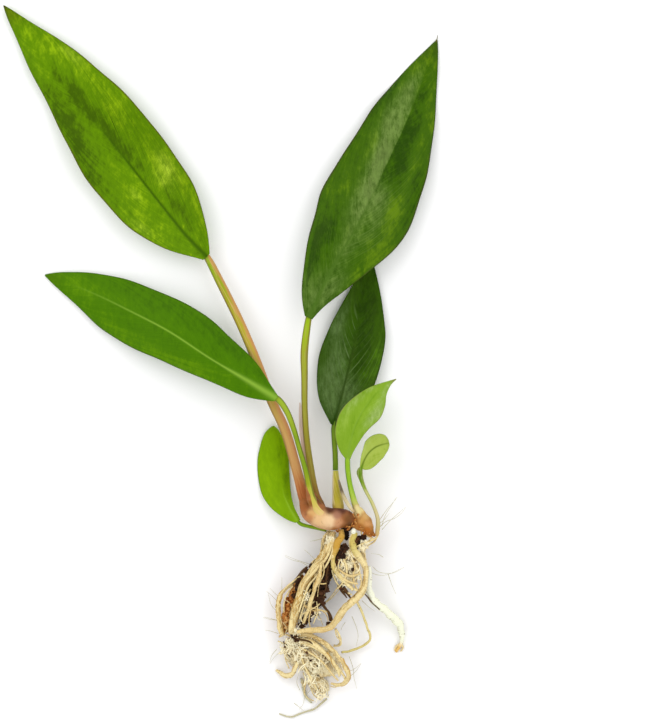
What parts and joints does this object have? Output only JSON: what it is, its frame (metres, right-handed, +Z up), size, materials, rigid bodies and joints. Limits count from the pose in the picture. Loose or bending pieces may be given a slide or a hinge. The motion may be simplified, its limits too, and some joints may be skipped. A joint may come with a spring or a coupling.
{
  "type": "anubias plant with bare roots",
  "caption": "Lance-leaved anubias lying flat as picked: green blades on long stalks from a short creeping stem, with sheaths, cream roots, root hairs and dark peat.",
  "frame": {"origin": "centre of the plant's footprint, on the surface that it lies on", "axes": "+Y from the roots to the leaf tips, +X to the right seen from above, +Z up from the surface"},
  "size_m": [0.183, 0.2992, 0.0188],
  "materials": {
    "bright_leaf": "living leaf, satin with a waxy sheen, bright green with paler veins",
    "mid_leaf": "living leaf, satin, mid green with a pale midrib",
    "dark_leaf": "living leaf, satin with a grey waxy sheen, dark green",
    "young_leaf": "young living leaf, satin, light green",
    "petiole": "living leaf stalk, satin, green running to ochre and brown at the base",
    "sheath": "thin leaf sheath, pink to cream",
    "rhizome": "living stem skin, purple-brown over pinkish cream",
    "side_shoot": "living shoot skin, orange-brown",
    "root": "living root skin, cream and tan, slightly rough",
    "fine_roots": "felted fine roots, cream",
    "old_root_bark": "dead root skin, brown and flaking",
    "peat_soil": "dark peat held between the roots, matt"
  },
  "bodies": {
    "root": {"blade_back_right": "dark_leaf", "blade_front_right": "young_leaf", "blade_middle_left": "mid_leaf", "blade_small_left": "bright_leaf", "blade_small_right": "young_leaf", "blade_upper_left": "bright_leaf", "blade_upper_right": "dark_leaf", "hair_root_high": "fine_roots", "hair_root_left_bottom": "fine_roots", "hair_root_left_low": "fine_roots", "hair_root_left_mid": "fine_roots", "hair_root_left_top": "fine_roots", "hair_root_low": "fine_roots", "hair_root_right": "fine_roots", "hair_root_top": "fine_roots", "old_root": "old_root_bark", "petiole_back_right": "petiole", "petiole_front_right": "petiole", "petiole_middle_left": "petiole", "petiole_small_left": "petiole", "petiole_small_right": "petiole", "petiole_upper_left": "petiole", "petiole_upper_right": "petiole", "rhizome": "rhizome", "root_bottom": "root", "root_centre": "root", "root_crown_left": "root", "root_inner_left": "root", "root_left_main": "root", "root_left_outer": "root", "root_loop_inner": "root", "root_loop_outer": "root", "root_loop_thin": "root", "root_mat_lower": "fine_roots", "root_mat_right": "fine_roots", "root_mat_tail": "fine_roots", "root_pale_strap": "root", "root_right_long": "root", "root_right_pale": "root", "root_shoot": "root", "root_stub_left": "root", "root_twig": "root", "scale_leaf": "sheath", "sheath_back_right": "sheath", "sheath_upper_right": "sheath", "side_shoot": "side_shoot", "soil_clump_right": "peat_soil", "soil_clump_upper": "peat_soil", "soil_core": "peat_soil"}
  },
  "joints": []
}
